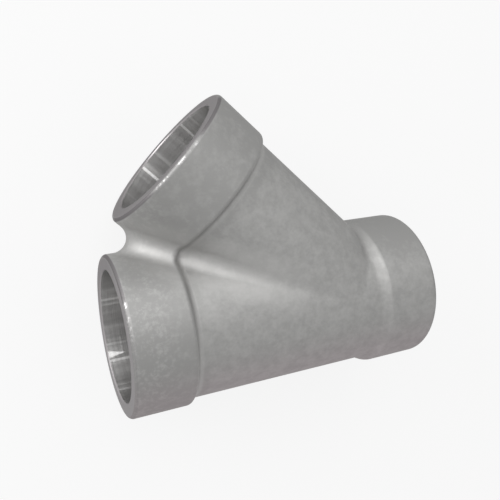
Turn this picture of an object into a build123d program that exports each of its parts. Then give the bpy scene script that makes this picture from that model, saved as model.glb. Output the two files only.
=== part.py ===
from build123d import *
from build123d import SkipClean
from math import hypot, radians, tan
import os

# Driving dimensions, in millimetres and degrees
branch_angle = 45.0  # between the branch and the end of the run that it leans over
socket_d = 34.0  # bore that a pipe enters
socket_depth = 13.0  # from a mouth to the shoulder that stops the pipe
socket_wall = 4.0  # from a socket's bore to the outside of its collar
shoulder = 3.0  # width of the ring that stops the pipe
step_height = 1.5  # from the outside of a tube up to the outside of its collar
collar_length = 15.2  # from a mouth to the corner at the top of its step, before that is rounded
heel_reach = 23.4  # from the crossing of the axes to the mouth at the run's far end
crotch_depth = 11.7  # from the planes of the two near mouths down to where the collars' outlines cross
step_lean = 31.0  # how far the wall of a near collar's step leans from square to its tube
step_top_r = 1.2  # rounding at the top of a step
step_foot_r = 1.5  # fillet at the foot of a near collar's step
heel_lean = 50.0  # how far the wall of the heel collar's step leans, a gentler slope
heel_foot_r = 4.0  # fillet at the foot of the heel collar's step
heel_join_r = 2.5  # fillet where the heel collar's step runs into the branch
crotch_corner_r = 3.0  # rounding in the corner where the steps of two collars meet
valley_r = 3.85  # fillet in the valley between the run and the branch
mouth_edge_r = 1.0  # rounding of a collar's outer edge
entry_break = 0.3  # chamfer at the entry of a socket
branch_relief = 0.1  # the branch tube is this much slimmer in radius, so the valley is one closed curve
foot_sink = 0.05  # the heel collar's foot starts this far below the tube's surface

socket_r = socket_d / 2
passage_r = socket_r - shoulder
collar_r = socket_r + socket_wall
tube_r = collar_r - step_height

# The run lies along X and the branch leans back over its near end. Both near mouths
# are equally far from the crossing of the axes, which the collars' outlines fix.
run, heel, branch = 180.0, 0.0, 180.0 - branch_angle
valley_slope = tan(radians(branch_angle / 2))
near_reach = collar_r / valley_slope + crotch_depth

# The valley's fillet runs out on the collars before the rounding of their mouths
valley_room = (crotch_depth - mouth_edge_r) * valley_slope
valley_fillet = min(valley_r, 0.9 * valley_room)

# The wall of a step is a cone, and its two roundings share its length
wall_slope = tan(radians(step_lean))
wall_room = hypot(1, wall_slope) * step_height / tan(radians(90 - step_lean) / 2)
top_fillet = min(step_top_r, 0.45 * wall_room)
foot_fillet = min(step_foot_r, 0.5 * wall_room)

heel_slope = tan(radians(heel_lean))
heel_wall = hypot(1, heel_slope) * (step_height + foot_sink)
heel_share = tan(radians(90 - heel_lean) / 2)  # how far a rounding reaches along the wall, for its radius
heel_foot_fillet = min(heel_foot_r, 0.95 * heel_wall / heel_share - top_fillet)
heel_join_fillet = min(heel_join_r, heel_wall)

well_clear = 2 * (near_reach + collar_r)  # further out than any surface of the fitting
seam_turn = 45.0  # puts the closing line of each round surface underneath, on the side away from the crotch


def along(direction):
    """The frame of a leg, with Z out of its mouth."""
    turn = seam_turn if direction == run else -seam_turn
    return Rot(0, 0, direction) * Rot(0, 90, 0) * Rot(0, 0, turn)


def rod(direction, radius, start, end):
    plain = Cylinder(radius, end - start, align=(Align.CENTER, Align.CENTER, Align.MIN))
    return along(direction) * Pos(0, 0, start) * plain


def turned(direction, profile):
    return along(direction) * revolve(Plane.XZ * profile, Axis.Z)


def rounded(profile, corner, radius):
    return fillet(profile.vertices().sort_by_distance((*corner, 0))[0], radius)


def meeting_edges(first, second, result):
    """Edges of the result, straight ones left out, where the surfaces of both solids meet."""
    pieces = new_edges(first, second, combined=result)
    return [
        edge
        for edge in result.edges()
        if edge.geom_type != GeomType.LINE and any(piece.distance_to(edge @ 0.5) < 1e-3 for piece in pieces)
    ]


def sound(combine):
    """A sum or difference of solids, with its faces left apart where merging them would spoil it."""
    result = combine()
    if not result.is_valid:
        with SkipClean():
            result = combine()
    return result


def joined(run_rod, branch_rod):
    both = run_rod + branch_rod
    return both.fillet(valley_fillet, meeting_edges(run_rod, branch_rod, both))


def tubes():
    run_rod = rod(run, tube_r, collar_length / 6 - heel_reach, near_reach + collar_length)
    branch_rod = rod(branch, tube_r - branch_relief, 0, near_reach + collar_length)
    return joined(run_rod, branch_rod)


def near_collars():
    """The run and the branch at collar size, as far back as the crossing."""
    rods = []
    for direction in (run, branch):
        plain = rod(direction, collar_r, 0, near_reach)
        mouth = along(direction) * Vertex(0, 0, near_reach)
        outer_edge = plain.edges().filter_by(GeomType.CIRCLE).sort_by_distance(mouth)[0]
        rods.append(plain.fillet(mouth_edge_r, [outer_edge]))
    return joined(*rods)


def space_behind_steps():
    """All that lies on the crossing side of both step walls, with the corner between them rounded."""
    foot = near_reach - collar_length - wall_slope * step_height
    slanted = foot + wall_slope * (well_clear - tube_r)
    outline = Polygon(
        (0, -well_clear),
        (well_clear, -well_clear),
        (well_clear, slanted),
        (0, foot - wall_slope * tube_r),
        align=None,
    )
    beside_run = turned(run, outline)
    beside_branch = turned(branch, outline)
    space = beside_run & beside_branch
    crotch = Rot(0, 0, (run + branch) / 2) * Vertex(near_reach, 0, 0)
    corner = ShapeList(meeting_edges(beside_run, beside_branch, space)).sort_by_distance(crotch)[0]
    return space.fillet(crotch_corner_r, [corner])


def near_skin():
    """The outside of the casting without the heel collar.

    The air round the tubes is shaped first, with its edge rounded where it meets a step's
    foot, and is then cut from collar-size stock.
    """
    inner, space = tubes(), space_behind_steps()
    air = space - inner
    air = air.fillet(foot_fillet, meeting_edges(space, inner, air))
    stock = near_collars() + Sphere(hypot(heel_reach, tube_r))
    skin = sound(lambda: stock - air)
    return skin.fillet(top_fillet, meeting_edges(stock, air, skin))


def heel_collar():
    base_r = tube_r - foot_sink
    top = heel_reach - collar_length
    foot = top - heel_slope * (step_height + foot_sink)
    back = foot - 1.5 * heel_share * heel_foot_fillet
    profile = Polygon(
        (0, back),
        (base_r, back),
        (base_r, foot),
        (collar_r, top),
        (collar_r, heel_reach),
        (0, heel_reach),
        align=None,
    )
    profile = rounded(profile, (base_r, foot), heel_foot_fillet)
    profile = rounded(profile, (collar_r, top), top_fillet)
    profile = rounded(profile, (collar_r, heel_reach), mouth_edge_r)
    return turned(heel, profile)


def whole_skin():
    """The outside of the casting, softened where the heel collar runs into the rest."""
    near_part, heel_part = near_skin(), heel_collar()
    skin = sound(lambda: near_part + heel_part)
    return skin.fillet(heel_join_fillet, meeting_edges(near_part, heel_part, skin))


def bore(direction, reach):
    """What is cut out behind one mouth: the socket with its entry, and the passage as far as the crossing."""
    stop = reach - socket_depth
    profile = Polygon(
        (0, 0),
        (passage_r, 0),
        (passage_r, stop),
        (socket_r, stop),
        (socket_r, reach - entry_break),
        (socket_r + entry_break, reach),
        (socket_r + entry_break, well_clear),
        (0, well_clear),
        align=None,
    )
    return turned(direction, profile)


casting = whole_skin()
for direction, reach in ((run, near_reach), (branch, near_reach), (heel, heel_reach)):
    casting -= bore(direction, reach)

# The origin is the centre of the run's near mouth
casting = Pos(near_reach, 0, 0) * casting

os.makedirs("parts", exist_ok=True)
export_step(casting, "parts/tee_body.step")
print("near mouths", round(near_reach, 3), "mm from the crossing; volume", round(casting.volume), "mm3")
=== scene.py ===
import math

import bmesh
import bpy
from mathutils import Matrix, Vector


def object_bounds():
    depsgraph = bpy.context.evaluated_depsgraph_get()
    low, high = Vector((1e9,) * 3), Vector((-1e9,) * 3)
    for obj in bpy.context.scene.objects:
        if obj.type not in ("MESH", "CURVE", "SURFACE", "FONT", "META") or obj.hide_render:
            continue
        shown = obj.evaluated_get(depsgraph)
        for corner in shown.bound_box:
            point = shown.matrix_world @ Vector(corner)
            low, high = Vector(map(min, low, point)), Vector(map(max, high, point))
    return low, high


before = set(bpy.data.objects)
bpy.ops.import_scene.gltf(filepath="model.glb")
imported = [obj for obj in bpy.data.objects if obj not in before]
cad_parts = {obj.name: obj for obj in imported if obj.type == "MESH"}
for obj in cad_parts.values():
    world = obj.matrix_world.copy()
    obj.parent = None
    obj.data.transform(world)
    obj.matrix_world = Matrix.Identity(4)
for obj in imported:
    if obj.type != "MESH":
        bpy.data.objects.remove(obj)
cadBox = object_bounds()
bpy.context.scene.view_settings.view_transform = "Standard"
print("frame loaded:", ", ".join(sorted(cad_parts)))


# Camera

cameraLook = {
    "place": (-0.02458, 0.03703, 0.15017),
    "right": (0.90975, -0.09839, 0.40340),
    "up": (0.14010, 0.98729, -0.07525),
    "lens": 42.92,
    "shift": (-0.001, 0.001),
}


def makeCamera(look):
    right = Vector(look["right"]).normalized()
    back = right.cross(Vector(look["up"])).normalized()
    up = back.cross(right)
    data = bpy.data.cameras.new("camera")
    data.lens = look["lens"]
    data.sensor_width = 36.0
    data.shift_x, data.shift_y = look["shift"]
    data.clip_start, data.clip_end = 0.005, 50.0
    camera = bpy.data.objects.new("camera", data)
    turn = Matrix((right, up, back)).transposed().to_4x4()
    camera.matrix_world = Matrix.Translation(look["place"]) @ turn
    bpy.context.scene.collection.objects.link(camera)
    bpy.context.scene.camera = camera
    return camera


makeCamera(cameraLook)
print("camera placed")


# Shader maths

class Wire:
    # one output socket; an expression on wires adds the Math nodes that work it out
    def __init__(self, finish, socket):
        self.finish = finish
        self.socket = socket

    def __add__(self, other):
        return self.finish.maths("ADD", self, other)

    def __radd__(self, other):
        return self.finish.maths("ADD", other, self)

    def __sub__(self, other):
        return self.finish.maths("SUBTRACT", self, other)

    def __rsub__(self, other):
        return self.finish.maths("SUBTRACT", other, self)

    def __mul__(self, other):
        return self.finish.maths("MULTIPLY", self, other)

    def __rmul__(self, other):
        return self.finish.maths("MULTIPLY", other, self)

    def __truediv__(self, other):
        return self.finish.maths("DIVIDE", self, other)

    def __rtruediv__(self, other):
        return self.finish.maths("DIVIDE", other, self)


class Finish:
    # a material, or the world, and the nodes that are added to it
    def __init__(self, holder):
        holder.use_nodes = True
        self.tree = holder.node_tree
        self.tree.nodes.clear()

    def add(self, kind, settings, values=(), output=0):
        node = self.tree.nodes.new(kind)
        for name, setting in settings.items():
            setattr(node, name, setting)
        given = values.items() if isinstance(values, dict) else enumerate(values)
        for key, value in given:
            if isinstance(value, Wire):
                self.tree.links.new(value.socket, node.inputs[key])
            elif value is not None:
                node.inputs[key].default_value = value
        return Wire(self, node.outputs[output]) if len(node.outputs) else node

    def maths(self, operation, *values):
        return self.add("ShaderNodeMath", {"operation": operation}, values)

    def most(self, wires):
        highest = wires[0]
        for wire in wires[1:]:
            highest = self.maths("MAXIMUM", highest, wire)
        return highest

    def vector(self, operation, *values, output=0):
        return self.add("ShaderNodeVectorMath", {"operation": operation}, values, output)

    def dot(self, first, second):
        return self.vector("DOT_PRODUCT", first, second, output=1)

    def scaled(self, vector, factor):
        return self.vector("SCALE", vector, None, None, factor)

    def joined(self, x, y, z):
        return self.add("ShaderNodeCombineXYZ", {}, (x, y, z))

    def between(self, value, low, high, start=0.0, end=1.0):
        # a smooth step from start at low to end at high
        return self.add(
            "ShaderNodeMapRange",
            {"interpolation_type": "SMOOTHSTEP"},
            {"Value": value, "From Min": low, "From Max": high, "To Min": start, "To Max": end},
        )

    def noise(self, place, size, detail, roughness):
        # grains of about this size, in the unit of place; from 0 to 1
        return self.add(
            "ShaderNodeTexNoise",
            {"noise_dimensions": "3D"},
            {"Vector": place, "Scale": 1.0 / size, "Detail": detail, "Roughness": roughness},
        )

    def mixed(self, share, first, second):
        # from the first colour at 0 to the second at 1
        return self.add("ShaderNodeMix", {"data_type": "RGBA"}, {0: share, 6: first, 7: second}, 2)

    def close(self, shader, kind="ShaderNodeOutputMaterial"):
        self.add(kind, {}, {"Surface": shader})


# The fitting's finish

teeShape = {  # millimetres, as in the CAD source
    "crossing": (62.398, 0.0, 0.0),
    "alongValley": (-math.cos(math.radians(22.5)), math.sin(math.radians(22.5)), 0.0),
    "acrossValley": (math.sin(math.radians(22.5)), math.cos(math.radians(22.5)), 0.0),
    "nearReach": 62.398,
    "heelReach": 23.4,
    "socketRadius": 17.0,
    "socketDepth": 13.0,
    "entryBreak": 0.3,
    "collarRadius": 21.0,
    "collarLength": 15.2,
    "edgeRadius": 1.0,
}

# Marks round each leg are given as turns in degrees from its upper side, half widths and strengths

runMarks = {
    "direction": (-1.0, 0.0, 0.0),
    "side": (0.0, 1.0, 0.0),
    "reach": teeShape["nearReach"],
    # the bore's streaks tilt its normal and paint a reflection into its colour
    "streaks": (
        (156, 1.6, 0.5),
        (161.5, 1.4, 0.4),
        (-160, 1.6, 0.35),
        (-144, 2.0, 0.5),
        (-117, 1.6, 0.35),
        (-110, 1.6, 0.35),
    ),
    "wedge": (-150.0, 4.6, 1.0),  # a streak of painted reflection in the bore's colour, with a tilt, that narrows from the mouth inwards
    "dark": ((66, 44, 1.0),),  # where a dark reflection is painted on the mouth's edge
    "worn": ((31, 4, 0.9), (21, 5, 0.8), (45, 14, 0.35), (8, 12, 0.45)),  # where it is rubbed bright
    "edgeShade": 1.0,  # how dark that edge's painted reflection is
    "paintedFaceShade": ((110, 70, 0.9),),  # where painted shade darkens the face
    "stepLightShare": 1.0,  # how much of the painted light at the step's foot it has
    "mouthDulling": 17.0,  # how far behind the mouth the casting is duller
    "paintedShade": (),  # where painted shade darkens its skin still more, and how far back that goes
    "paintedShadeReach": 20.0,
}

branchMarks = {
    "direction": (-math.sqrt(0.5), math.sqrt(0.5), 0.0),
    "side": (math.sqrt(0.5), math.sqrt(0.5), 0.0),
    "reach": teeShape["nearReach"],
    "streaks": ((132, 1.7, 0.8), (-171.5, 2.0, 1.0), (118, 2.0, 0.3), (169, 2.5, 0.2), (-137, 2.0, 0.3)),
    "wedge": (40.0, 4.0, 0.6),
    "dark": ((38, 32, 1.0), (-66, 40, 1.0)),
    "worn": ((6, 4, 0.8), (-8.6, 6, 1.2), (-23, 4, 0.8), (-31, 6, 0.65), (165, 22, 0.75), (142, 12, 0.7)),
    "edgeShade": 1.0,
    "paintedFaceShade": (),
    "stepLightShare": 1.0,
    "mouthDulling": 20.0,
    "paintedShade": ((85, 45, 0.7),),
    "paintedShadeReach": 46.0,
}

heelMarks = {
    "direction": (1.0, 0.0, 0.0),
    "side": (0.0, -1.0, 0.0),
    "reach": teeShape["heelReach"],
    "streaks": ((40, 2.0, 0.6), (155, 1.8, 0.8), (-60, 2.0, 0.5), (95, 1.6, 0.4)),
    "wedge": (-20.0, 5.0, 0.3),
    "dark": ((-150, 40, 0.8),),
    "worn": ((20, 8, 0.7), (-120, 12, 0.7)),
    "edgeShade": 0.35,
    "paintedFaceShade": (),
    "stepLightShare": 0.0,
    "mouthDulling": 0.5,
    "paintedShade": ((-75, 55, 0.75),),
    "paintedShadeReach": 16.0,
}

castLook = {
    "light": (0.474, 0.471, 0.463, 1.0),
    "dull": (0.386, 0.384, 0.377, 1.0),
    "lightBelow": (0.474, 0.441, 0.446, 1.0),  # on the side away from the branch
    "dullBelow": (0.392, 0.364, 0.368, 1.0),
    "below": (-3.0, -16.0),  # where that tone begins and is full, along Y
    "paintedCornerLight": (0.590, 0.585, 0.575, 1.0),  # painted light, lifting the shade in corners
    "paintedCornerLightReach": 0.0025,
    # painted highlight along the valley between run and branch
    "valleyPaintedLight": 0.40,
    "valleyWidth": (8.0, 3.5),  # off the valley's line, where its painted light begins and is full
    "valleyStart": (12.0, 30.0),  # and the same along it, from the crossing
    "stepFootPaintedLight": 0.30,  # painted light, more at the foot of the near collars' steps
    "shadeLevel": 0.35,
    "mouthDullingShare": 0.5,
    "patchSize": 3.2,
    "patchShade": 0.5,
    "speckSize": 1.2,
    "speckShade": 0.6,
    "coarseShade": 1.1,  # more of them on the run's near collar
    "coarseStart": (-49.0, -57.0),
    "roughness": 0.60,
    "roughnessShare": 0.15,
    "grainSize": 0.30,
    "grainHeight": 0.012,
    "lumpSize": 1.2,
    "lumpHeight": 0.020,
    "seamHeight": 0.06,
    "seamWidth": 0.25,
    "edgeTint": (0.5, 0.5, 0.5, 1.0),  # reflection where the metal is seen edge on
}

turnedLook = {
    "face": (0.450, 0.430, 0.435, 1.0),
    # painted shade on part of the face
    "paintedFaceShade": (0.345, 0.327, 0.332, 1.0),
    "faceRoughness": 0.36,
    "faceTilt": 0.5,
    "bore": (0.465, 0.460, 0.456, 1.0),
    # painted light: the bore lighter deeper in
    "borePaintedLight": (0.590, 0.584, 0.578, 1.0),
    # painted reflection along the bore's streaks
    "streakPaintedReflection": (0.80, 0.795, 0.788, 1.0),
    "boreRoughness": 0.42,
    "boreMargin": 0.45,  # outside the bore's radius, so that its entry is taken in
    "deepDepths": (-1.0, 9.0),  # behind the mouth, where the bore's painted lighter tone begins and is full
    "wedgeLength": 5.0,
    "markWidth": 0.2,
    "markTilt": 0.25,
    "grainTilt": 0.3,
    "streakTilt": 0.12,
    "turnWidth": 0.16,
    "edgeDepths": (1.3, 0.7),  # behind the mouth, where its rounded edge begins and is full
    "bendStart": (0.12, 0.4),  # round that edge, where its painted dark line begins and is full
    "bendEnd": (1.9, 1.4),
    "dark": (0.215, 0.205, 0.209, 1.0),  # painted dark reflection on the rounded edge
    "darkRoughness": 0.62,
    "darkReflectionNoise": 0.8,  # how much the wear noise adds to the painted dark marks
    "darkLevels": (0.45, 1.2),
    "darkLeast": 0.25,
    "worn": (0.46, 0.455, 0.45, 1.0),
    "wornRoughness": 0.36,
    "wornSize": 1.4,
    "wornWear": 4.0,
    "wornLevels": (2.64, 3.04),  # of marks and wear together, where it turns bright
    "stepStart": (-0.3, 0.3),  # from the collar's length, where the painted light at the foot of its step begins and is full
    "stepEnd": (2.4, 1.4),
}


def legFinish(finish, marks, shape, look, fromCrossing, squared, height, wear):
    direction, side = marks["direction"], marks["side"]
    along = finish.dot(fromCrossing, direction)
    radius = finish.maths("SQRT", squared - along * along)
    up = height / radius
    across = finish.dot(fromCrossing, side) / radius
    depth = marks["reach"] - along

    def facing(turn):
        aim = math.radians(turn)
        return up * math.cos(aim) + across * math.sin(aim)

    def near(turn, width):
        # 1 at this turn, and 0 beyond its half width
        outer, inner = math.cos(math.radians(width)), math.cos(math.radians(width * 0.2))
        return finish.between(facing(turn), outer, inner)

    def spread(name, start=0.0):
        # all the marks of one kind on top of each other
        for turn, width, strength in marks[name]:
            start = start + near(turn, width) * strength
        return start

    # the machined socket, the face with its entry, and the rounded outer edge
    bore = shape["socketRadius"] + look["boreMargin"]
    entry = shape["entryBreak"]
    inside = finish.between(radius, bore, bore - 0.05)
    socket = inside * finish.between(depth, shape["socketDepth"] + 0.08, shape["socketDepth"] + 0.04)
    socket = socket * finish.between(depth, entry - 0.02, entry + 0.02)
    chamfer = inside * finish.between(depth, entry + 0.04, entry)
    face = finish.most([finish.between(depth, 0.03, 0.01), chamfer])
    rounding = shape["collarRadius"] - shape["edgeRadius"]
    edge = finish.between(depth, *look["edgeDepths"]) * finish.between(radius, rounding - 0.1, rounding + 0.2)
    edge = edge * (1.0 - face)
    bend = radius - rounding + depth  # from 0 to 2 round the edge
    middle = edge * finish.between(bend, *look["bendStart"]) * finish.between(bend, *look["bendEnd"])

    # streaks along the bore, tilts and painted reflections in its colour, and the turning marks round it
    streaks = finish.noise(finish.joined(up * 6.0, across * 6.0, along * 0.02), 1.0, 4.0, 0.65)
    rings = finish.noise(finish.joined(up, across, along / look["markWidth"]), 1.0, 1.0, 0.5)
    turn, width, strength = marks["wedge"]
    off = finish.maths("SQRT", 2.0 - facing(turn) * 2.0)
    room = finish.maths("MAXIMUM", math.radians(width) * (1.0 - depth / look["wedgeLength"]), 0.001)
    lines = spread("streaks", finish.between(off / room, 1.1, 0.4) * strength)
    tilt = (rings - 0.5) * look["markTilt"] + (streaks - 0.5) * look["grainTilt"]
    tilt = tilt + lines * look["streakTilt"]
    tip = finish.scaled(direction, socket * tilt)

    # the face was turned too, and its marks tip it in and out
    turns = finish.noise(finish.joined(up * 2.0, across * 2.0, radius / look["turnWidth"]), 1.0, 1.0, 0.5)
    outward = finish.vector("ADD", finish.scaled(side, across), finish.scaled((0.0, 0.0, 1.0), up))
    lean = finish.scaled(outward, face * (turns - 0.5) * look["faceTilt"])

    # where the mouth's edge is rubbed bright, and where a dark reflection is painted on it
    rubbed = edge * finish.between(spread("worn", wear * look["wornWear"]), *look["wornLevels"])
    darkReflection = spread("dark", wear * look["darkReflectionNoise"])
    darkReflection = middle * finish.between(darkReflection, *look["darkLevels"], look["darkLeast"], 1.0)
    darkReflection = darkReflection * marks["edgeShade"]

    # painted light at the foot of the collar's step, on this leg alone, and painted shade on the skin
    behind = depth - shape["collarLength"]
    outside = shape["collarRadius"]
    step = finish.between(behind, *look["stepStart"]) * finish.between(behind, *look["stepEnd"])
    step = step * finish.between(radius, outside + 0.1, outside - 0.1)
    paintedShade = spread("paintedShade") * finish.between(depth, marks["paintedShadeReach"] + 4.0, marks["paintedShadeReach"])
    return {
        "socket": socket,
        "face": face,
        "edge": finish.most([darkReflection, rubbed]),
        "rubbed": rubbed,
        # the bore's streaks, where a painted reflection lightens its colour
        "bright": socket * finish.between(streaks * 0.5 + lines, 0.1, 1.1),
        "tip": finish.vector("ADD", tip, lean),
        "paintedFaceShade": spread("paintedFaceShade"),
        "deep": finish.between(depth, *look["deepDepths"]),
        "step": step * marks["stepLightShare"],
        "paintedShade": paintedShade,
        "mouthDulling": finish.between(depth, marks["mouthDulling"] + 3.0, marks["mouthDulling"] - 3.0),
    }


def makeTeeFinish(shape, legs, cast, turned):
    material = bpy.data.materials.new("castStainless")
    finish = Finish(material)
    coordinates = finish.add("ShaderNodeTexCoord", {}, output="Object")
    place = finish.scaled(coordinates, 1000.0)  # in millimetres
    height = finish.add("ShaderNodeSeparateXYZ", {}, (place,), "Z")
    level = finish.add("ShaderNodeSeparateXYZ", {}, (place,), "Y")
    fromCrossing = finish.vector("SUBTRACT", place, shape["crossing"])
    squared = finish.dot(fromCrossing, fromCrossing)
    wear = finish.noise(place, turned["wornSize"], 3.0, 0.7)

    shared = (fromCrossing, squared, height, wear)
    parts = [legFinish(finish, marks, shape, turned, *shared) for marks in legs]
    mask = {name: finish.most([part[name] for part in parts]) for name in parts[0] if name != "tip"}
    tips = parts[0]["tip"]
    for part in parts[1:]:
        tips = finish.vector("ADD", tips, part["tip"])
    machined = finish.most([mask["socket"], mask["face"]])
    print("marks laid round", len(parts), "mouths")

    # blasted skin: grain, soft lumps and the ridge that the mould's halves left
    grain = finish.noise(place, cast["grainSize"], 3.0, 0.65)
    lumps = finish.noise(place, cast["lumpSize"], 3.0, 0.6)
    seam = finish.between(finish.maths("ABSOLUTE", height), cast["seamWidth"], 0.0)
    relief = grain * cast["grainHeight"] + lumps * cast["lumpHeight"] + seam * cast["seamHeight"]
    relief = relief * (1.0 - machined)

    # tone of the skin: patches, specks, duller near the mouths, painted shade in places, and painted light in
    # corners, in the valley and at the steps' feet
    patches = finish.between(finish.noise(place, cast["patchSize"], 4.0, 0.6), 0.35, 0.65)
    coarse = finish.between(finish.dot(fromCrossing, (1.0, 0.0, 0.0)), *cast["coarseStart"])
    specks = finish.between(finish.noise(place, cast["speckSize"], 4.0, 0.85), 0.30, 0.70) - 0.5
    share = patches * cast["patchShade"] + specks * (cast["speckShade"] + coarse * cast["coarseShade"])
    # painted shade darkens the skin in places
    share = share + cast["shadeLevel"] - mask["mouthDulling"] * cast["mouthDullingShare"] - mask["paintedShade"]
    offValley = finish.maths("ABSOLUTE", finish.dot(fromCrossing, shape["acrossValley"]))
    downValley = finish.dot(fromCrossing, shape["alongValley"])
    # painted highlight along the valley
    valley = finish.between(offValley, *cast["valleyWidth"])
    valley = valley * finish.between(downValley, *cast["valleyStart"])
    # painted light: corners found by the occlusion are lightened
    openness = finish.add(
        "ShaderNodeAmbientOcclusion",
        {"samples": 12, "only_local": True},
        {"Distance": cast["paintedCornerLightReach"]},
        "AO",
    )
    paintedCornerLight = finish.most([finish.between(openness, 0.98, 0.55), valley * cast["valleyPaintedLight"]])
    # painted light at the foot of the near collars' steps
    paintedCornerLight = paintedCornerLight + mask["step"] * cast["stepFootPaintedLight"]

    above = finish.mixed(share, cast["dull"], cast["light"])
    below = finish.mixed(share, cast["dullBelow"], cast["lightBelow"])
    colour = finish.mixed(finish.between(level, *cast["below"]), above, below)
    colour = finish.mixed(paintedCornerLight, colour, cast["paintedCornerLight"])
    # the mouth's edge: a painted dark reflection, and rubbed spots
    edgeColour = finish.mixed(mask["rubbed"], turned["dark"], turned["worn"])
    colour = finish.mixed(mask["edge"], colour, edgeColour)
    # painted shade on part of the face
    faceColour = finish.mixed(mask["paintedFaceShade"], turned["face"], turned["paintedFaceShade"])
    colour = finish.mixed(mask["face"], colour, faceColour)
    # painted light: the bore lighter deeper in
    boreColour = finish.mixed(mask["deep"], turned["bore"], turned["borePaintedLight"])
    # painted reflection along the bore's streaks
    boreColour = finish.mixed(mask["bright"], boreColour, turned["streakPaintedReflection"])
    colour = finish.mixed(mask["socket"], colour, boreColour)

    rough = cast["roughness"] + (grain - 0.5) * cast["roughnessShare"]
    rough = rough + (turned["darkRoughness"] - rough) * mask["edge"]
    rough = rough + (turned["wornRoughness"] - rough) * mask["rubbed"]
    rough = rough + (turned["faceRoughness"] - rough) * mask["face"]
    rough = rough + (turned["boreRoughness"] - rough) * mask["socket"]

    bumped = finish.add("ShaderNodeBump", {}, {"Strength": 1.0, "Distance": 0.001, "Height": relief})
    shader = finish.add(
        "ShaderNodeBsdfPrincipled",
        {},
        {
            "Base Color": colour,
            "Metallic": 1.0,
            "Roughness": rough,
            "Normal": finish.vector("NORMALIZE", finish.vector("ADD", bumped, tips)),
            "Specular Tint": cast["edgeTint"],
        },
    )
    finish.close(shader)
    return material


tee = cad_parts["tee_body"]
legs = (runMarks, branchMarks, heelMarks)
tee.data.materials.clear()
tee.data.materials.append(makeTeeFinish(teeShape, legs, castLook, turnedLook))
print("finish on the casting")


# Floor and light

floorLook = {
    "height": -0.021,
    "halfSide": 3.0,
    "paint": (0.70, 0.70, 0.70, 1.0),
    "shown": (0.995, 0.995, 0.995, 1.0),
    "shownShare": 0.85,  # how much of the floor's own light the camera and the metal see
}


def makeFloor(look):
    mesh = bpy.data.meshes.new("floor")
    sheet = bmesh.new()
    bmesh.ops.create_grid(sheet, x_segments=1, y_segments=1, size=look["halfSide"])
    bmesh.ops.translate(sheet, verts=sheet.verts, vec=(0.0, 0.0, look["height"]))
    sheet.to_mesh(mesh)
    sheet.free()
    floor = bpy.data.objects.new("floor", mesh)
    bpy.context.scene.collection.objects.link(floor)

    material = bpy.data.materials.new("paleFloor")
    finish = Finish(material)
    paint = finish.add("ShaderNodeBsdfDiffuse", {}, {"Color": look["paint"]})
    shown = finish.add("ShaderNodeEmission", {}, {"Color": look["shown"], "Strength": 1.0})
    cameraRay = finish.add("ShaderNodeLightPath", {}, output="Is Camera Ray")
    glossyRay = finish.add("ShaderNodeLightPath", {}, output="Is Glossy Ray")
    passingRay = finish.add("ShaderNodeLightPath", {}, output="Is Transmission Ray")
    share = finish.maths("MINIMUM", cameraRay + glossyRay + passingRay, 1.0) * look["shownShare"]
    finish.close(finish.add("ShaderNodeMixShader", {}, {0: share, 1: paint, 2: shown}))
    mesh.materials.append(material)
    return floor


surroundLook = {
    "colour": (0.695, 0.695, 0.695, 1.0),
}


def makeSurround(look):
    world = bpy.data.worlds.new("studio")
    finish = Finish(world)
    sky = finish.add("ShaderNodeBackground", {}, {"Color": look["colour"], "Strength": 1.0})
    finish.close(sky, "ShaderNodeOutputWorld")
    bpy.context.scene.world = world


lampLook = {  # direction from the fitting's middle, metres, and brightness where white is 1
    "over": {"from": (-0.0615, 0.6774, 0.7336), "distance": 0.5, "width": 0.51, "level": 1.28},
    "side": {"from": (-0.7791, 0.5492, 0.3016), "distance": 0.5, "width": 0.306, "level": 4.84},
}


def makeLamps(look, centre):
    for name, lamp in look.items():
        data = bpy.data.lights.new(name, "AREA")
        data.shape = "DISK"
        data.size = lamp["width"]
        data.energy = math.pi * math.pi * lamp["width"] ** 2 / 4 * lamp["level"]
        light = bpy.data.objects.new(name, data)
        way = Vector(lamp["from"]).normalized()
        light.location = centre + way * lamp["distance"]
        light.rotation_mode = "QUATERNION"
        light.rotation_quaternion = way.to_track_quat("Z", "Y")
        light.visible_camera = False
        bpy.context.scene.collection.objects.link(light)


makeFloor(floorLook)
makeSurround(surroundLook)
makeLamps(lampLook, (cadBox[0] + cadBox[1]) / 2)
print("floor, surround and lamps made")
